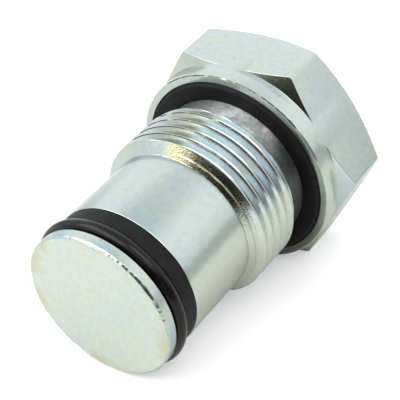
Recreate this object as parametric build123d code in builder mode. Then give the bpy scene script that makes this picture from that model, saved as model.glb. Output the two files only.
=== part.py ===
"""Blanking plug for a threaded cartridge-valve cavity, with its three seal rings.

The plug lies along X: +X points to the hex head and the nose points to -X.
The origin is the centre of the head's seating face, and +Z is square to a hex flat.
"""

import os
from math import cos, pi, radians, tan

from build123d import *

os.makedirs("parts", exist_ok=True)

# Driving dimensions, in millimetres
thread_diameter = 26.44  # G 3/4 parallel pipe thread, over the crests
threads_per_inch = 14
hex_across_flats = 31.7
hex_chamfer_angle = 20.0  # measured from the end face
far_chamfer_angle = 30.0
collar_diameter = 31.66
collar_length = 3.15
head_length = 12.5
neck_diameter = 23.8
thread_start = -12.86  # full diameter of the thread, nose side
thread_end = -4.45  # full diameter of the thread, head side
groove_on_top = -11.9  # where the thread groove first crosses the +Z side
cutter_overshoot = 0.35  # how far the thread cutter stands outside the crests
nose_diameter = 22.9
nose_length = 33.1  # nose face to seating face
edge_break = 0.3

# Nose groove with its O-ring and backup ring
groove_head_wall = -26.6
groove_width = 4.8
groove_floor_diameter = 19.9
nose_ring_section = 2.0
nose_ring_inside = 20.0
backup_width = 2.45
backup_outside = 22.7
contact_gap = 0.02  # between rings that touch

# Profile ring in the head's recess
ring_outside = 29.2
ring_inside = 23.9
ring_thickness = 1.5
ring_edge_slope = 0.45
recess_diameter = 29.3
recess_depth = 1.2

# Values that follow from them
thread_radius = thread_diameter / 2
nose_radius = nose_diameter / 2
neck_radius = neck_diameter / 2
pitch = 25.4 / threads_per_inch
thread_depth = 0.6403 * pitch
flank_half_angle = 27.5
root_width = 0.14 * pitch
lead_in = (thread_radius - nose_radius) * tan(radians(30))
groove_nose_wall = groove_head_wall - groove_width
cut_start = groove_on_top - pitch
cut_length = thread_end + 0.9 * pitch - cut_start
recess_radius = recess_diameter / 2
collar_radius = collar_diameter / 2


def rise(radial_step, angle):
    """Axial length of a cone that gains radial_step at angle from the end face."""
    return radial_step * tan(radians(angle))


# Hex head: a prism trimmed to the collar and to both chamfer cones, with the seal recess
corner_radius = hex_across_flats / 2 / cos(pi / 6)
outside_corners = corner_radius + 1
far_face_radius = hex_across_flats / 2 - 0.5
near_cone = rise(outside_corners - collar_radius, hex_chamfer_angle)
far_cone = rise(outside_corners - far_face_radius, far_chamfer_angle)

with BuildPart() as hex_head:
    with BuildSketch(Plane.YZ):
        RegularPolygon(hex_across_flats / 2, 6, major_radius=False)
    extrude(amount=head_length)
    with BuildSketch(Plane.XY):
        with BuildLine():
            Polyline(
                (0, 0),
                (0, collar_radius - edge_break),
                (edge_break, collar_radius),
                (collar_length, collar_radius),
                (collar_length + near_cone, outside_corners),
                (head_length - far_cone, outside_corners),
                (head_length, far_face_radius),
                (head_length, 0),
                close=True,
            )
        make_face()
    revolve(axis=Axis.X, mode=Mode.INTERSECT)
    with BuildSketch(Plane.XY):
        with BuildLine():
            Polyline(
                (0, 0),
                (0, recess_radius + edge_break / 2),
                (edge_break / 2, recess_radius),
                (recess_depth, recess_radius),
                (recess_depth, 0),
                close=True,
            )
        make_face()
    revolve(axis=Axis.X, mode=Mode.SUBTRACT)

# Plug body: the turned shank with its thread, in one piece with the hex head
cutter_inner = root_width / 2
cutter_height = thread_depth + cutter_overshoot
cutter_outer = cutter_inner + cutter_height * tan(radians(flank_half_angle))
root_radius = thread_radius - thread_depth

with BuildPart() as plug_body:
    with BuildSketch(Plane.XY):
        with BuildLine():
            Polyline(
                (recess_depth, 0),
                (recess_depth, neck_radius),
                (thread_end + thread_radius - neck_radius, neck_radius),
                (thread_end, thread_radius),
                (thread_start, thread_radius),
                (thread_start - lead_in, nose_radius),
                (groove_head_wall, nose_radius),
                (groove_head_wall, groove_floor_diameter / 2),
                (groove_nose_wall, groove_floor_diameter / 2),
                (groove_nose_wall, nose_radius),
                (-nose_length + edge_break, nose_radius),
                (-nose_length, nose_radius - edge_break),
                (-nose_length, 0),
                close=True,
            )
        make_face()
    revolve(axis=Axis.X)

    # The thread groove is one right-hand helical cut that runs out at both ends
    with BuildLine() as groove_line:
        Helix(pitch, cut_length, root_radius, center=(cut_start, 0, 0), direction=(1, 0, 0))
    groove_start = groove_line.line @ 0
    outward = Vector(0, groove_start.Y, groove_start.Z)
    with BuildSketch(Plane(groove_start, x_dir=outward, z_dir=groove_line.line % 0)):
        with BuildLine():
            Polyline(
                (0, -cutter_inner),
                (cutter_height, -cutter_outer),
                (cutter_height, cutter_outer),
                (0, cutter_inner),
                close=True,
            )
        make_face()
    sweep(path=groove_line.line, is_frenet=True, mode=Mode.SUBTRACT)

    add(hex_head.part)

plug_body.part.label = "plug_body"
export_step(plug_body.part, "parts/plug_body.step")

# Nose O-ring, lying against the backup ring
backup_head_face = groove_head_wall - contact_gap
backup_nose_face = backup_head_face - backup_width
nose_ring_x = backup_nose_face - contact_gap - nose_ring_section / 2
nose_ring_radius = (nose_ring_inside + nose_ring_section) / 2

with BuildPart() as nose_o_ring:
    with BuildSketch(Plane.XY):
        with Locations((nose_ring_x, nose_ring_radius)):
            Circle(nose_ring_section / 2)
    revolve(axis=Axis.X)

nose_o_ring.part.label = "nose_o_ring"
export_step(nose_o_ring.part, "parts/nose_o_ring.step")

# Backup ring: a flat rectangular ring on the O-ring's head side
with BuildPart() as nose_backup_ring:
    with BuildSketch(Plane.XY):
        with BuildLine():
            Polyline(
                (backup_nose_face, nose_ring_inside / 2),
                (backup_nose_face, backup_outside / 2),
                (backup_head_face, backup_outside / 2),
                (backup_head_face, nose_ring_inside / 2),
                close=True,
            )
        make_face()
    revolve(axis=Axis.X)

nose_backup_ring.part.label = "nose_backup_ring"
export_step(nose_backup_ring.part, "parts/nose_backup_ring.step")

# Profile ring under the head, standing a little proud of the seating face
ring_head_face = recess_depth - contact_gap
ring_nose_face = ring_head_face - ring_thickness

with BuildPart() as head_profile_ring:
    with BuildSketch(Plane.XY):
        with BuildLine():
            Polyline(
                (ring_head_face, ring_inside / 2),
                (ring_nose_face, ring_inside / 2),
                (ring_nose_face, ring_outside / 2 - ring_edge_slope),
                (ring_nose_face + ring_edge_slope, ring_outside / 2),
                (ring_head_face, ring_outside / 2),
                close=True,
            )
        make_face()
    revolve(axis=Axis.X)

head_profile_ring.part.label = "head_profile_ring"
export_step(head_profile_ring.part, "parts/head_profile_ring.step")
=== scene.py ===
"""Finished meshes, materials, light and camera for the cartridge-cavity plug."""

from math import acos, atan2, cos, pi, radians, sin, sqrt, tan

import bmesh
import bpy
from mathutils import Matrix, Vector


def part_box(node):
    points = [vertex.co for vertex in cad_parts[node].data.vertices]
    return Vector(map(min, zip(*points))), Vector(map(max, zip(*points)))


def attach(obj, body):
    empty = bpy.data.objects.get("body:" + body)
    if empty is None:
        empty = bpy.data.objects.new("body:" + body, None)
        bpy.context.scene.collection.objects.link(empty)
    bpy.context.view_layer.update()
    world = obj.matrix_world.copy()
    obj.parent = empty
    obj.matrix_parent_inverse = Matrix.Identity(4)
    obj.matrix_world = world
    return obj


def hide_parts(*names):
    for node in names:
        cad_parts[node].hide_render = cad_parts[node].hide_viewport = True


MM = 0.001

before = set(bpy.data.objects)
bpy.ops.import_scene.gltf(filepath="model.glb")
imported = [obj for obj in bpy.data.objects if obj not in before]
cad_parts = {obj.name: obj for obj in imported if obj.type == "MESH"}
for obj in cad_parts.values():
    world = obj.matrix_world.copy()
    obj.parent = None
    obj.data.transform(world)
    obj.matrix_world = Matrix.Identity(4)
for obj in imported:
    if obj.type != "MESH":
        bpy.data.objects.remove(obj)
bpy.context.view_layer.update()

# ---------------------------------------------------------------- sizes, in millimetres
body_low, body_high = (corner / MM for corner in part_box("plug_body"))
o_ring_low, o_ring_high = (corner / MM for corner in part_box("nose_o_ring"))
backup_low, backup_high = (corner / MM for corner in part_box("nose_backup_ring"))
profile_low, profile_high = (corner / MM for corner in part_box("head_profile_ring"))

# The nose, whose end face is the body's lowest X.
nose_x, head_x = body_low.x, body_high.x
nose_radius = 11.45
nose_edge = 0.31
groove_floor_radius = 9.95
groove_nose_wall = -31.4
groove_head_wall = -26.6

# The head. Cone slopes are length along the axis for each millimetre outwards.
neck_radius = 11.9
recess_radius = 14.65
recess_depth = 1.2
collar_radius = 15.83
collar_edge = 0.15
sweep_radius = 3.0
sweep_turn = radians(18)
sweep_rise = sweep_radius * (1 - cos(sweep_turn))
cone_start = 2.95
sweep_start = cone_start - sweep_radius * sin(sweep_turn)
half_flats = body_high.z
hex_corner_cut = 0.06
hex_corner_blend = 0.06
far_face_radius = half_flats - 0.5
near_slope = tan(radians(24))
far_slope = tan(radians(30))

# The thread, G 3/4. Its blank has a lead-in cone and a 45 degree run-out cone.
thread_radius = 13.22
pitch = 25.4 / 14
thread_depth = 0.6 * pitch
root_radius = thread_radius - thread_depth
crest_width = 0.17
flank_run = thread_depth * tan(radians(30))
thread_start, thread_end = -12.86, -4.45
lead_slope = tan(radians(30))
lead_in = (thread_radius - nose_radius) * lead_slope
run_out = thread_radius - neck_radius
groove_on_top = -11.88
zone_margin = 0.05
thread_zone = (thread_start - lead_in - zone_margin, thread_end + run_out + zone_margin)

# Meshes: the pinhole left on the axis at each end, the points round a seal ring, and how
# close two places are that count as the same.
axis_hole = 0.02
ring_steps = 360
near = 0.01


# ---------------------------------------------------------------- mesh building
def arc_corner(before, corner, after, radius, steps, share=0.45):
    """Points of a fillet at a corner, held to this share of the shorter side."""
    first = Vector((before[0] - corner[0], before[1] - corner[1]))
    second = Vector((after[0] - corner[0], after[1] - corner[1]))
    room = share * min(first.length, second.length)
    first.normalize()
    second.normalize()
    half = acos(max(-1, min(1, first.dot(second)))) / 2
    reach = min(radius / tan(half), room) if half < pi / 2 - 1e-6 else 0
    start = Vector(corner) + first * reach
    end = Vector(corner) + second * reach
    points = []
    for step in range(steps + 1):
        t = step / steps
        low = start.lerp(Vector(corner), t)
        high = Vector(corner).lerp(end, t)
        points.append(tuple(low.lerp(high, t)))
    return points


def rounded(corners, steps=4, share=0.45):
    """A profile from (x, r, fillet) corners, its first and last points kept sharp."""
    points = [corners[0][:2]]
    for before, corner, after in zip(corners, corners[1:], corners[2:]):
        points += arc_corner(before[:2], corner[:2], after[:2], corner[2], steps, share)
    points.append(corners[-1][:2])
    return points


def ring_angles(per_half_side=36):
    """Angles about X from +Y, closer together at the hex corners, one of which is at +Y."""
    angles = []
    for side in range(6):
        for step in range(2 * per_half_side):
            t = step / per_half_side
            from_corner = t if t <= 1 else 2 - t
            eased = 30 * (0.15 * from_corner + 0.85 * from_corner * from_corner)
            angles.append(radians(60 * side + (eased if t <= 1 else 60 - eased)))
    return angles


def hex_radius(angle):
    """Distance from the axis to the side of the hexagon, with its corners eased."""
    off_flat = (angle % (pi / 3)) - pi / 6
    sharp = half_flats / cos(off_flat)
    corner = half_flats / cos(pi / 6) - hex_corner_cut
    gap = corner - sharp
    return (corner + sharp - sqrt(gap * gap + hex_corner_blend * hex_corner_blend)) / 2


def wobble(angle, seed, *waves):
    """A smooth irregular value from -1 to 1 that closes on itself round the axis."""
    total = sum(sin(wave * angle + seed * (wave + 1.3)) for wave in waves)
    return total / len(waves)


def point_at(x, radius, angle):
    """The point in metres at this distance along and out from the axis."""
    return Vector((x, radius * cos(angle), radius * sin(angle))) * MM


def new_object(name, mesh_data):
    """A Blender mesh object from a finished bmesh, welded and outward-facing."""
    bmesh.ops.remove_doubles(mesh_data, verts=mesh_data.verts, dist=2e-7)
    bmesh.ops.recalc_face_normals(mesh_data, faces=mesh_data.faces)
    mesh = bpy.data.meshes.new(name)
    mesh_data.to_mesh(mesh)
    mesh_data.free()
    mesh.shade_smooth()
    mesh.set_sharp_from_angle(angle=radians(38))
    piece = bpy.data.objects.new(name, mesh)
    bpy.context.collection.objects.link(piece)
    return piece


def add_grid(mesh_data, angles, rows):
    """New vertices in one row for each angle. rows holds a list of (x, r) for each."""
    grid = []
    for angle, row in zip(angles, rows):
        grid.append([mesh_data.verts.new(point_at(x, r, angle)) for x, r in row])
    return grid


def add_rows(mesh_data, angles, rows, slots):
    """A closed band of rows round the axis, with a material slot for each strip of it."""
    grid = add_grid(mesh_data, angles, rows)
    for here, angle in enumerate(angles):
        this, that = grid[here], grid[(here + 1) % len(angles)]
        for step, slot in enumerate(slots):
            corners = (this[step], that[step], that[step + 1], this[step + 1])
            if slot == EDGE and not worn(angle):
                slot = TURNED
            mesh_data.faces.new(corners).material_index = slot


def revolved(name, points):
    """A ring whose closed section, revolved about the axis, is these points."""
    angles = [2 * pi * step / ring_steps for step in range(ring_steps)]
    mesh_data = bmesh.new()
    add_rows(mesh_data, angles, [points] * ring_steps, [0] * (len(points) - 1))
    return new_object(name, mesh_data)


# ---------------------------------------------------------------- plug body
# Material regions, which are slot numbers on the finished body.
TURNED, THREAD, HEX, FACE, GROOVE, NECK, LAND, LEAD, EDGE, CONE, SEAT, CREST = range(12)


def worn(angle):
    """True on the two opposite quarters where the edges have rubbed."""
    return sin(2 * (angle - radians(52))) > 0


def nose_profile(angle):
    """Nose face, end land, groove and nose cylinder, up to the thread."""
    dents = wobble(angle, 2.1, 5, 11, 23) + wobble(angle, 0.7, 37, 61, 97)
    broken = nose_edge + 0.07 * dents
    corners = [
        (nose_x, axis_hole, 0),
        (nose_x, nose_radius - broken, 0.05),
        (nose_x + 0.85 * broken, nose_radius, 0.08),
        (groove_nose_wall, nose_radius, 0.12),
        (groove_nose_wall, groove_floor_radius, 0.2),
        (groove_head_wall, groove_floor_radius, 0.2),
        (groove_head_wall, nose_radius, 0.12),
        (thread_zone[0], nose_radius, 0),
    ]
    return rounded(corners)


def nose_slots(points):
    """Material regions along the nose's profile."""
    slots = []
    for (x0, r0), (x1, r1) in zip(points, points[1:]):
        middle_x, middle_r = (x0 + x1) / 2, (r0 + r1) / 2
        if middle_x < nose_x + near:
            slots.append(FACE)
        elif middle_x < groove_nose_wall - near:
            slots.append(LAND)
        elif middle_x < groove_head_wall + near and middle_r < nose_radius - 0.1:
            slots.append(GROOVE)
        else:
            slots.append(TURNED)
    return slots


def collar_sweep(rise):
    """The arc from the collar up to the near cone, or to a flat that it meets before."""
    turn = acos(1 - rise / sweep_radius)
    steps = 8
    points = []
    for step in range(steps + 1):
        part = turn * step / steps
        outwards = sweep_radius * (1 - cos(part))
        points.append((sweep_start + sweep_radius * sin(part), collar_radius + outwards))
    return points


def head_profile(angle):
    """Neck, recess, collar, the sweep up to the near cone and the hexagon, at this angle."""
    side = hex_radius(angle)
    dents = wobble(angle, 1.3, 7, 19, 41) + wobble(angle, 0.4, 53, 83, 127)
    broken = collar_edge + 0.04 * dents
    met = min(side, collar_radius + sweep_rise)
    sweep = collar_sweep(met - collar_radius)
    cone_end = sweep[-1][0] + (side - met) * near_slope
    far_start = head_x - (side - far_face_radius) * far_slope
    seat = [
        (thread_zone[1], neck_radius, 0),
        (recess_depth, neck_radius, 0.35),
        (recess_depth, recess_radius, 0.1),
        (0, recess_radius, 0.15),
        (0, collar_radius - broken, 0.04),
        (broken, collar_radius, 0.06),
        (sweep_start, collar_radius, 0),
    ]
    hexagon = [
        (*sweep[-1], 0),
        (cone_end, side, 0.10),
        (far_start, side, 0.2),
        (head_x, far_face_radius, 0.3),
        (head_x, axis_hole, 0),
    ]
    return rounded(seat) + sweep[1:] + rounded(hexagon)[1:]


def head_slots(points):
    """Material regions along the head's profile, taken at a hex corner."""
    slots = []
    for (x0, r0), (x1, r1) in zip(points, points[1:]):
        middle_x, middle_r = (x0 + x1) / 2, (r0 + r1) / 2
        near_half = middle_x < head_x / 2
        if middle_r < recess_radius - 0.2 and middle_x < recess_depth + near:
            slots.append(NECK)
        elif near < middle_x < collar_edge and middle_r > collar_radius - collar_edge:
            slots.append(EDGE)
        elif middle_x < near:
            slots.append(SEAT)
        elif near_half and middle_r < collar_radius + sweep_rise:
            slots.append(TURNED)
        elif near_half and r1 - r0 > max(x1 - x0, 0.5):
            slots.append(CONE)
        else:
            slots.append(HEX)
    return slots


def thread_section():
    """One pitch of the thread, from the middle of one groove to the middle of the next."""
    flank_steps = 18
    crest_start = (pitch - crest_width) / 2
    root_end = crest_start - flank_run
    corners = [
        (0, root_radius, 0),
        (root_end, root_radius, 0.24),
        (crest_start, thread_radius, 0.04),
        (pitch - crest_start, thread_radius, 0.06),
        (pitch - root_end, root_radius, 0.24),
        (pitch, root_radius, 0),
    ]
    points = rounded(corners, steps=5, share=0.9)
    filled = []
    for (x0, r0), (x1, r1) in zip(points, points[1:]):
        steps = flank_steps if abs(r1 - r0) > 0.3 else 1
        for step in range(steps):
            t = step / steps
            filled.append((x0 + (x1 - x0) * t, r0 + (r1 - r0) * t))
    return filled


def blank_radius(x):
    """The thread's blank before it is cut: lead-in cone, cylinder and run-out cone."""
    lead = nose_radius + (x - thread_start + lead_in) / lead_slope
    tail = thread_radius - (x - thread_end)
    return max(min(thread_radius, lead, tail), nose_radius if x < thread_start else neck_radius)


def thread_rows(angles):
    """Rows that follow the helix, held back to flat rings at both ends of the zone."""
    section = thread_section()
    low, high = thread_zone
    groove_at_start = groove_on_top - pitch / 4
    first = low - pitch - (low - pitch - groove_at_start) % pitch
    turns = int((high - first) / pitch) + 2
    base = [(first + turn * pitch + x, r) for turn in range(turns) for x, r in section]
    rows = []
    for angle in angles:
        row = []
        for x, r in base:
            held = min(max(x + pitch * angle / (2 * pi), low), high)
            row.append((held, min(r, blank_radius(held))))
        rows.append(row)
    return rows, len(section)


def thread_slot(x, before, after, angle):
    """Material region of a strip of the thread that goes from one radius to another."""
    if x < thread_start:
        return LEAD
    rising = after > before + 0.001
    if rising and after > thread_radius - 0.10 and worn(angle):
        return EDGE
    return CREST if min(before, after) > thread_radius - 0.03 else THREAD


def add_thread(mesh_data, angles):
    """The helical band. Past the last angle each row meets the row one pitch further on."""
    rows, per_pitch = thread_rows(angles)
    grid = add_grid(mesh_data, angles, rows)
    count = len(rows[0])
    for here, angle in enumerate(angles):
        last = here == len(angles) - 1
        this, that = grid[here], grid[0 if last else here + 1]
        shift = per_pitch if last else 0
        for step in range(count - 1):
            low = min(step + shift, count - 1)
            high = min(step + 1 + shift, count - 1)
            corners = [this[step], that[low], that[high], this[step + 1]]
            if len(set(corners)) == 4:
                (x, before), (_, after) = rows[here][step : step + 2]
                slot = thread_slot(x, before, after, angle)
                mesh_data.faces.new(corners).material_index = slot


def make_plug_body():
    """The whole steel plug as one mesh, closed but for the pinholes at its two ends."""
    angles = ring_angles()
    mesh_data = bmesh.new()
    noses = [nose_profile(angle) for angle in angles]
    add_rows(mesh_data, angles, noses, nose_slots(noses[0]))
    add_thread(mesh_data, angles)
    heads = [head_profile(angle) for angle in angles]
    add_rows(mesh_data, angles, heads, head_slots(heads[0]))
    piece = new_object("plug_body_finished", mesh_data)
    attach(piece, "plug")
    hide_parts("plug_body")
    return piece


# ---------------------------------------------------------------- seal rings
def closed_section(corners, steps=6):
    """The closed outline of a ring's section, from (x, r, fillet) corners."""
    around = corners + corners[:2]
    points = []
    for before, corner, after in zip(around, around[1:], around[2:]):
        points += arc_corner(before[:2], corner[:2], after[:2], corner[2], steps)
    return points + points[:1]


def make_nose_o_ring():
    """A ring of plain round section."""
    middle_x = (o_ring_low.x + o_ring_high.x) / 2
    section = (o_ring_high.x - o_ring_low.x) / 2
    centre = o_ring_high.z - section
    steps = 48
    points = []
    for step in range(steps + 1):
        turn = 2 * pi * step / steps
        points.append((middle_x + section * sin(turn), centre + section * cos(turn)))
    piece = revolved("nose_o_ring_moulded", points)
    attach(piece, "nose_ring")
    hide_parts("nose_o_ring")
    return piece


def make_backup_ring():
    """The flat ring on the head side of the O-ring, its edges a little broken."""
    inside = backup_high.z - 1.35
    corners = [
        (backup_low.x, inside, 0.08),
        (backup_low.x, backup_high.z, 0.22),
        (backup_high.x, backup_high.z, 0.10),
        (backup_high.x, inside, 0.08),
    ]
    piece = revolved("nose_backup_ring_cut", closed_section(corners))
    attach(piece, "backup_ring")
    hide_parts("nose_backup_ring")
    return piece


def make_profile_ring():
    """The seal ring under the head, with its sloped outer edge."""
    inside = neck_radius + 0.05
    slope = 0.45
    corners = [
        (profile_low.x, inside, 0.12),
        (profile_low.x, profile_high.z - slope, 0.2),
        (profile_low.x + slope, profile_high.z, 0.2),
        (profile_high.x, profile_high.z, 0.1),
        (profile_high.x, inside, 0.1),
    ]
    piece = revolved("head_profile_ring_moulded", closed_section(corners))
    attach(piece, "head_ring")
    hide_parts("head_profile_ring")
    return piece


# ---------------------------------------------------------------- node trees
class Nodes:
    """A short way to build a node tree. Values are sockets, or plain numbers and colours."""

    def __init__(self, tree):
        self.tree = tree

    def add(self, kind, **values):
        """A node of this kind, with its inputs set by name and its fields by attribute."""
        node = self.tree.nodes.new(kind)
        for key, value in values.items():
            if hasattr(node, key):
                setattr(node, key, value)
            else:
                node.inputs[key.replace("_", " ")].default_value = value
        return node

    def link(self, output, node, socket):
        """Connects an output socket to a named or numbered input."""
        self.tree.links.new(output, node.inputs[socket])

    def put(self, value, node, socket):
        """Gives an input its value, by a link where the value is a socket."""
        if hasattr(value, "links"):
            self.link(value, node, socket)
        else:
            node.inputs[socket].default_value = value

    def math(self, operation, *values):
        """The result of a sum with numbers."""
        node = self.add("ShaderNodeMath", operation=operation)
        for socket, value in enumerate(values):
            self.put(value, node, socket)
        return node.outputs[0]

    def vector_math(self, operation, *values, result="Vector"):
        """The result of a sum with vectors, which is in the Value output if it's a number."""
        node = self.add("ShaderNodeVectorMath", operation=operation)
        for socket, value in enumerate(values):
            self.put(value, node, socket)
        return node.outputs[result]

    def noise(self, scale, detail=4.0, stretch=(1, 1, 1), seed=0):
        """A noise texture in object space, in features per millimetre, stretched if asked."""
        place = self.add("ShaderNodeTexCoord").outputs["Object"]
        mapping = self.add("ShaderNodeMapping")
        mapping.inputs["Scale"].default_value = tuple(scale / MM * size for size in stretch)
        mapping.inputs["Location"].default_value = (7.3 * seed, 3.1 * seed, 5.7 * seed)
        self.link(place, mapping, "Vector")
        node = self.add("ShaderNodeTexNoise", Scale=1.0, Detail=detail)
        self.link(mapping.outputs["Vector"], node, "Vector")
        return node.outputs["Fac"]

    def ramp(self, value, *stops):
        """A colour ramp with (position, colour) stops."""
        node = self.add("ShaderNodeValToRGB")
        elements = node.color_ramp.elements
        while len(elements) < len(stops):
            elements.new(0.5)
        for element, (position, colour) in zip(elements, stops):
            element.position = position
            element.color = (*colour, 1)
        self.link(value, node, "Fac")
        return node.outputs["Color"]

    def steps(self, value, low, high, interpolation="SMOOTHSTEP"):
        """Maps a value between two (value, result) pairs and holds it outside them."""
        node = self.add("ShaderNodeMapRange", interpolation_type=interpolation)
        node.inputs["From Min"].default_value, node.inputs["To Min"].default_value = low
        node.inputs["From Max"].default_value, node.inputs["To Max"].default_value = high
        self.link(value, node, "Value")
        return node.outputs["Result"]

    def span(self, value, low, high):
        """Maps 0..1 to low..high in a straight line."""
        return self.steps(value, (0, low), (1, high), "LINEAR")

    def mix(self, factor, first, second, blend="MIX"):
        """Mixes two colours."""
        node = self.add("ShaderNodeMix", data_type="RGBA", blend_type=blend)
        self.put(factor, node, 0)
        for socket, colour in ((6, first), (7, second)):
            self.put(colour if hasattr(colour, "links") else (*colour, 1), node, socket)
        return node.outputs[2]

    def bump(self, height, distance, normal=None):
        """A bump from a height socket, in millimetres, on top of another where one is given."""
        node = self.add("ShaderNodeBump", Strength=1.0, Distance=distance * MM)
        self.link(height, node, "Height")
        if normal:
            self.link(normal, node, "Normal")
        return node.outputs["Normal"]

    def off_axis(self):
        """The part of a point's place that is square to the plug's axis, in millimetres."""
        place = self.add("ShaderNodeTexCoord").outputs["Object"]
        return self.vector_math("MULTIPLY", place, (0, 1 / MM, 1 / MM))

    def toward(self, angle):
        """The cosine of the angle about the axis between a point and this direction."""
        unit = self.vector_math("NORMALIZE", self.off_axis())
        aim = (0, cos(radians(angle)), sin(radians(angle)))
        return self.vector_math("DOT_PRODUCT", unit, aim, result="Value")


class Finish(Nodes):
    """The nodes of a new material, with its shader at hand."""

    def __init__(self, name, **inputs):
        self.material = bpy.data.materials.new(name)
        self.material.use_nodes = True
        super().__init__(self.material.node_tree)
        self.shader = self.tree.nodes["Principled BSDF"]
        for key, value in inputs.items():
            self.shader.inputs[key.replace("_", " ")].default_value = value


# ---------------------------------------------------------------- materials
PALE = (0.50, 0.55, 0.52)
BLUISH = (0.56, 0.62, 0.63)
FACE_TINT = (0.62, 0.675, 0.64)
CONE_TINT = (0.44, 0.48, 0.45)
CREST_TINT = (0.42, 0.45, 0.42)

# Patches that change the tint on some sides of the round surfaces, most of them painted
# shade, painted highlights and painted reflections: the angle about the axis from +Y, the
# half width and the soft edge, in degrees, and what the tint is multiplied by.
# Painted warm reflection of the floor on the lower side of the turned surfaces.
TURNED_PAINTED_REFLECTION = ((200, 34, 16, (1.07, 1.05, 0.99)),)
# Painted bright, warm reflection of the floor on the lower side of the crests.
CREST_PAINTED_REFLECTION = ((190, 46, 10, (1.38, 1.36, 1.26)),)
# Painted shade on the underside of the seat, where it faces the shadowed floor under the plug.
SEAT_PAINTED_SHADE = ((235, 28, 16, (0.40, 0.40, 0.34)),)
CONE_PATCHES = (
    (60, 26, 8, (1.15, 1.12, 1.05)),
    (180, 26, 8, (1.20, 1.32, 1.48)),
)
# Painted light on the lead cone: a dark brown band of painted shade, a narrow warm painted highlight
# and a painted warm floor reflection on the lower side.
LEAD_PAINTED_LIGHT = (
    (128, 23, 6, (0.47, 0.43, 0.33)),
    (97, 7, 6, (1.35, 1.22, 0.85)),
    (200, 34, 16, (1.15, 1.12, 1.0)),
)
# Painted light on the thread: painted shade near 80 degrees, painted highlights near 109 and 152
# degrees, and a painted warm floor reflection on the lower side.
THREAD_PAINTED_LIGHT = (
    (80, 10, 9, (0.70, 0.67, 0.61)),
    (109, 11, 8, (1.28, 1.30, 1.30)),
    (152, 9, 7, (1.14, 1.16, 1.18)),
    (204, 32, 12, (1.17, 1.14, 1.03)),
)

# Tool marks: how the noise is stretched and how deep they are, in millimetres.
TURNED_MARKS = ((9.0, 0.15, 0.15), 0.003)
DRAWN_MARKS = ((0.2, 4.0, 4.0), 0.003)


def times(tint, factor):
    """A colour multiplied by another."""
    return tuple(channel * share for channel, share in zip(tint, factor))


def uneven(nodes, colour, tint, patches):
    """The tint made duller, brighter or warmer on some sides of the round surfaces, mostly as painted
    shade, painted highlights and painted reflections.
    """
    for angle, half_width, soft, factor in patches:
        outside, inside = (cos(radians(half_width + side)) for side in (soft, -soft))
        mask = nodes.steps(nodes.toward(angle), (outside, 0), (inside, 1))
        colour = nodes.mix(mask, colour, times(tint, factor))
    return colour


def rim_stain(nodes, start, end):
    """Nought inside the start radius, rising to one near the end radius, with ragged bounds."""
    radius = nodes.vector_math("LENGTH", nodes.off_axis(), result="Value")
    shift = nodes.span(nodes.noise(0.16, detail=5, seed=21), -6.0, 6.0)
    return nodes.steps(nodes.math("ADD", radius, shift), (start, 0), (end, 1))


def zinc(
    name, tint, rough, film=0.5, grain=0.003, ripple=0.006, pits=0.3, marks=None, rim=None, patches=()
):
    """Bright zinc plating with a blue and yellow film, pits, ripples, grain and tool marks.

    rough holds the lowest and highest roughness. film and pits are how strongly they show,
    grain and ripple are depths in millimetres, and rim is where a stain starts and ends.
    """
    nodes = Finish(name, Metallic=1.0)
    blue = nodes.steps(nodes.noise(0.22, detail=3, seed=3), (0.44, 0), (0.68, film))
    yellow = nodes.steps(nodes.noise(0.28, detail=4, seed=11), (0.46, 0), (0.70, film))
    colour = nodes.mix(blue, tint, times(tint, (0.84, 0.97, 1.10)))
    colour = nodes.mix(yellow, colour, times(tint, (1.06, 1.0, 0.78)))
    if rim:
        colour = nodes.mix(rim_stain(nodes, *rim), colour, times(tint, (0.90, 0.84, 0.60)))
    # Painted shade, painted highlights and painted reflections on the sides that the patches give.
    colour = uneven(nodes, colour, tint, patches)
    mottle = nodes.noise(1.1, detail=6, seed=5)
    tone = nodes.ramp(mottle, (0.35, (0.94, 0.94, 0.94)), (0.6, (1, 1, 1)))
    colour = nodes.mix(1.0, colour, tone, "MULTIPLY")
    specks = nodes.steps(nodes.noise(1.7, detail=2, seed=8), (0.20, pits), (0.29, 0))
    colour = nodes.mix(specks, colour, (0.12, 0.11, 0.08))
    nodes.link(colour, nodes.shader, "Base Color")
    nodes.link(nodes.span(nodes.noise(0.6), *rough), nodes.shader, "Roughness")
    normal = nodes.bump(nodes.noise(0.7, detail=2, seed=2), ripple)
    normal = nodes.bump(nodes.noise(4.5, detail=3), grain, normal)
    if marks:
        stretch, depth = marks
        normal = nodes.bump(nodes.noise(1.0, detail=3, stretch=stretch), depth, normal)
    nodes.link(normal, nodes.shader, "Normal")
    return nodes.material


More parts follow.
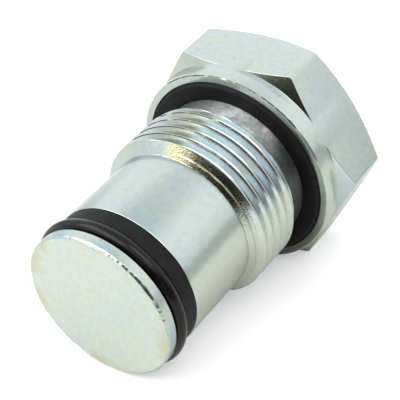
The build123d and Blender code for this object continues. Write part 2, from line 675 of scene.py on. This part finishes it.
def brushed_with_painted_sheen(name):
    """Dull turned metal, its grooves round the axis, with a painted highlight on the upper side and
    painted shade round the rest.
    """
    nodes = Finish(name, Metallic=1.0, Roughness=0.5, Anisotropic=0.9, Anisotropic_Rotation=0.25)
    tangent = nodes.add("ShaderNodeTangent", direction_type="RADIAL", axis="X")
    nodes.link(tangent.outputs[0], nodes.shader, "Tangent")
    shift = nodes.span(nodes.noise(0.5, detail=5, seed=9), -0.10, 0.10)
    # Painted highlight centred at 112 degrees about the axis, fading into painted shade elsewhere.
    tone = nodes.ramp(
        nodes.math("ADD", nodes.toward(112), shift),
        (0.30, (0.10, 0.105, 0.10)),
        (0.86, (0.21, 0.22, 0.215)),
        (0.96, (0.36, 0.37, 0.37)),
        (1.0, (0.62, 0.63, 0.63)),
    )
    mottle = nodes.noise(1.6, detail=6, seed=9)
    shade = nodes.ramp(mottle, (0.38, (0.75, 0.75, 0.75)), (0.6, (1, 1, 1)))
    nodes.link(nodes.mix(1.0, tone, shade, "MULTIPLY"), nodes.shader, "Base Color")
    grooves = nodes.noise(1.0, detail=3, stretch=(8.0, 1.0, 1.0))
    nodes.link(nodes.bump(grooves, 0.006), nodes.shader, "Normal")
    return nodes.material


def worn_edge(name):
    """Sharp edges where the plating is thin, burnt brown and nicked."""
    nodes = Finish(name, Metallic=1.0, Roughness=0.36)
    patches = nodes.noise(0.4, detail=6, seed=4)
    colour = nodes.ramp(patches, (0.53, (0.09, 0.075, 0.05)), (0.64, (0.72, 0.69, 0.52)))
    nodes.link(colour, nodes.shader, "Base Color")
    nodes.link(nodes.bump(nodes.noise(5.0), 0.02), nodes.shader, "Normal")
    return nodes.material


def rubber(name, shade, rough, grain, grain_depth, specular):
    """Black rubber with faint bloom and a fine uneven skin."""
    nodes = Finish(name, Specular_IOR_Level=specular)
    black, bloom = (shade,) * 3, (shade * 1.6 + 0.004,) * 3
    colour = nodes.ramp(nodes.noise(0.45, detail=5), (0.35, black), (0.75, bloom))
    nodes.link(colour, nodes.shader, "Base Color")
    nodes.link(nodes.span(nodes.noise(1.2), *rough), nodes.shader, "Roughness")
    nodes.link(nodes.bump(nodes.noise(grain, detail=6), grain_depth), nodes.shader, "Normal")
    return nodes.material


def finish_metal(piece):
    """Gives the plug one material for each region, in the order of the region numbers."""
    finishes = {
        TURNED: zinc(
            "zinc_turned", PALE, (0.15, 0.24), film=0.3, marks=TURNED_MARKS, patches=TURNED_PAINTED_REFLECTION
        ),
        THREAD: zinc(
            "zinc_thread", BLUISH, (0.14, 0.24), film=0.6, grain=0.006, patches=THREAD_PAINTED_LIGHT
        ),
        HEX: zinc("zinc_hex", PALE, (0.18, 0.28), film=0.25, grain=0.005, marks=DRAWN_MARKS),
        FACE: zinc(
            "zinc_face", FACE_TINT, (0.24, 0.36), film=0.3, ripple=0.008, pits=0.15, rim=(10.0, 13.2)
        ),
        GROOVE: zinc("zinc_groove", PALE, (0.3, 0.45)),
        NECK: brushed_with_painted_sheen("zinc_neck"),
        LAND: zinc("zinc_land", PALE, (0.14, 0.24), film=0.8, grain=0.03, ripple=0.012, pits=1.0),
        LEAD: zinc("zinc_lead_cone", PALE, (0.12, 0.20), film=0.4, grain=0.045, patches=LEAD_PAINTED_LIGHT),
        EDGE: worn_edge("zinc_worn_edge"),
        CONE: zinc(
            "zinc_head_cone", CONE_TINT, (0.12, 0.20), grain=0.022, pits=0.9, patches=CONE_PATCHES
        ),
        SEAT: zinc("zinc_seat", PALE, (0.15, 0.24), film=0.3, patches=SEAT_PAINTED_SHADE),
        CREST: zinc(
            "zinc_thread_crest",
            CREST_TINT,
            (0.24, 0.34),
            film=0.4,
            grain=0.02,
            pits=0.8,
            patches=CREST_PAINTED_REFLECTION,
        ),
    }
    for region in sorted(finishes):
        piece.data.materials.append(finishes[region])


def finish_rings(nose_ring, backup, profile_ring):
    """Gives each seal ring its own black: glossy, hard and matt."""
    glossy = rubber("rubber_glossy", 0.0015, (0.10, 0.20), 1.5, 0.006, 0.24)
    hard = rubber("rubber_hard", 0.004, (0.45, 0.6), 2.5, 0.012, 0.16)
    matte = rubber("rubber_matte", 0.0035, (0.45, 0.6), 2.0, 0.010, 0.15)
    for ring, finish in ((nose_ring, glossy), (backup, hard), (profile_ring, matte)):
        ring.data.materials.append(finish)


# ---------------------------------------------------------------- floor
# The plug rests on its O-ring and on the near end of its lowest flat.
FLAT_START = 4.1
O_RING_MIDDLE = (o_ring_low.x + o_ring_high.x) / 2
FLOOR_TILT = atan2(half_flats - o_ring_high.z, FLAT_START - O_RING_MIDDLE)
FLOOR_TOUCH = 4.3
FLOOR_GAP = 0.02
PAPER = ((-97, 12), (-58, -10), (-58, -97), (500, -97), (500, 500), (-97, 500))
PAPER_GLOW = 0.385


def white_paper(name):
    """Matt paper, with a faint glow that only the camera sees."""
    nodes = Finish(name, Roughness=0.7, Specular_IOR_Level=0.1)
    nodes.shader.inputs["Base Color"].default_value = (0.73, 0.715, 0.68, 1)
    nodes.shader.inputs["Emission Color"].default_value = (0.92, 0.93, 1.0, 1)
    seen = nodes.add("ShaderNodeLightPath").outputs["Is Camera Ray"]
    nodes.link(nodes.math("MULTIPLY", seen, PAPER_GLOW), nodes.shader, "Emission Strength")
    return nodes.material


def make_floor():
    """A sheet of white paper that ends short of the dark room beyond the nose."""
    rise = tan(FLOOR_TILT)
    corners = []
    for x, y in PAPER:
        corners.append(Vector((x, y, (FLOOR_TOUCH - x) * rise - half_flats - FLOOR_GAP)) * MM)
    mesh = bpy.data.meshes.new("floor")
    mesh.from_pydata(corners, [], [tuple(range(len(corners)))])
    floor = bpy.data.objects.new("floor", mesh)
    bpy.context.collection.objects.link(floor)
    floor.data.materials.append(white_paper("floor_white"))


# ---------------------------------------------------------------- light and camera
WALLS = (0.95, 0.98, 1.0)
WALL_STRENGTH = 1.4

# Windows in the tent's walls: azimuth and elevation, half their spans and soft edge, all in
# degrees, and what the walls are multiplied by.
WINDOWS = (
    (0, 68, 60, 17, 9, (0.66, 0.73, 0.77)),  # the gap between the two overhead softboxes
    (-62, 0, 40, 12, 14, (0.78, 0.78, 0.78)),  # the open side of the tent, low on the right
    (-70, -6, 34, 8, 4, (0.62, 0.62, 0.60)),  # the table's edge there
    (55, -2, 40, 8, 8, (0.86, 0.87, 0.88)),  # the open side, low on the left
    (125, 4, 20, 9, 8, (0.80, 0.80, 0.80)),  # the same, nearer the camera
    (-136, 5, 62, 21, 6, (0.16, 0.16, 0.15)),  # the dark room round the camera
    (76, 7, 16, 9, 6, (0.42, 0.53, 0.62)),  # a doorway into shade
    (-172, -2, 24, 15, 4, (0.15, 0.15, 0.14)),  # the dark room's far side
    (166, 14, 11, 9, 4, (0.44, 0.40, 0.27)),  # a wooden door frame there
    (150, 15, 4, 6, 3, (1.5, 1.4, 0.95)),  # a small warm lamp
)
TENT_CENTRE = (-8, 0, 0)
SOFTBOX_DISTANCE = 330


def direction(azimuth, elevation):
    """Unit vector for an azimuth from +X towards +Y and an elevation, in degrees."""
    a, e = radians(azimuth), radians(elevation)
    return Vector((cos(e) * cos(a), cos(e) * sin(a), sin(e)))


def window(nodes, place, azimuth, elevation, half_width, half_height, edge):
    """One inside a soft-edged window of directions, nought outside it. Angles in radians."""
    across = nodes.vector_math(
        "DOT_PRODUCT", place, (sin(azimuth), -cos(azimuth), 0), result="Value"
    )
    ahead = nodes.vector_math(
        "DOT_PRODUCT", place, (cos(azimuth), sin(azimuth), 0), result="Value"
    )
    up = nodes.vector_math("DOT_PRODUCT", place, (0, 0, 1), result="Value")
    turned = nodes.math("ARCTAN2", across, ahead)
    raised = nodes.math("SUBTRACT", nodes.math("ARCSINE", up), elevation)
    masks = []
    for away, half in ((turned, half_width), (raised, half_height)):
        size = nodes.math("ABSOLUTE", away)
        masks.append(nodes.steps(size, (half + edge, 0), (half - edge, 1)))
    return nodes.math("MULTIPLY", *masks)


def make_world():
    """A white light tent with its darker gaps and one lamp. The camera sees plain white."""
    world = bpy.data.worlds.new("studio")
    bpy.context.scene.world = world
    world.use_nodes = True
    nodes = Nodes(world.node_tree)
    place = nodes.add("ShaderNodeTexCoord").outputs["Generated"]
    colour = WALLS
    for *angles, factor in WINDOWS:
        inside = window(nodes, place, *(radians(angle) for angle in angles))
        colour = nodes.mix(inside, colour, factor, "MULTIPLY")
    seen = nodes.add("ShaderNodeLightPath").outputs["Is Camera Ray"]
    background = nodes.tree.nodes["Background"]
    nodes.link(nodes.mix(seen, colour, (1, 1, 1)), background, "Color")
    background.inputs["Strength"].default_value = WALL_STRENGTH


def add_softbox(name, azimuth, elevation, size, radiance):
    """A softbox that faces the tent's centre. Its size is in millimetres."""
    light = bpy.data.lights.new(name, "AREA")
    light.shape = "RECTANGLE"
    light.size, light.size_y = size[0] * MM, size[1] * MM
    light.color = radiance
    light.energy = pi * light.size * light.size_y
    softbox = bpy.data.objects.new(name, light)
    place = SOFTBOX_DISTANCE * direction(azimuth, elevation)
    softbox.location = place * MM
    softbox.rotation_mode = "QUATERNION"
    softbox.rotation_quaternion = (Vector(TENT_CENTRE) - place).to_track_quat("-Z", "Y")
    bpy.context.collection.objects.link(softbox)


CAMERA_PLACE = Vector((-119.1, -91.9, 110.4))
CAMERA_AIM = Vector((-5.0, 3.1, -3.3))
CAMERA_ROLL = radians(-9.5)
LENS = 114.0


def make_camera():
    """A long lens from the nose end, above the plug, rolled slightly."""
    data = bpy.data.cameras.new("camera")
    data.lens = LENS
    data.sensor_width = 36.0
    data.clip_start, data.clip_end = 0.01, 20
    camera = bpy.data.objects.new("camera", data)
    camera.location = CAMERA_PLACE * MM
    facing = (CAMERA_AIM - CAMERA_PLACE).to_track_quat("-Z", "Y")
    roll = Matrix.Rotation(CAMERA_ROLL, 3, "Z").to_quaternion()
    camera.rotation_mode = "QUATERNION"
    camera.rotation_quaternion = facing @ roll
    bpy.context.collection.objects.link(camera)
    bpy.context.scene.camera = camera


# ---------------------------------------------------------------- the scene
finish_metal(make_plug_body())
finish_rings(make_nose_o_ring(), make_backup_ring(), make_profile_ring())
make_floor()
make_world()
add_softbox("key_softbox", 147, 47, (340, 220), (2.6, 2.6, 2.55))
add_softbox("fill_softbox", -100, 56, (150, 170), (2.6, 2.5, 2.3))
make_camera()
bpy.context.scene.view_settings.view_transform = "Standard"
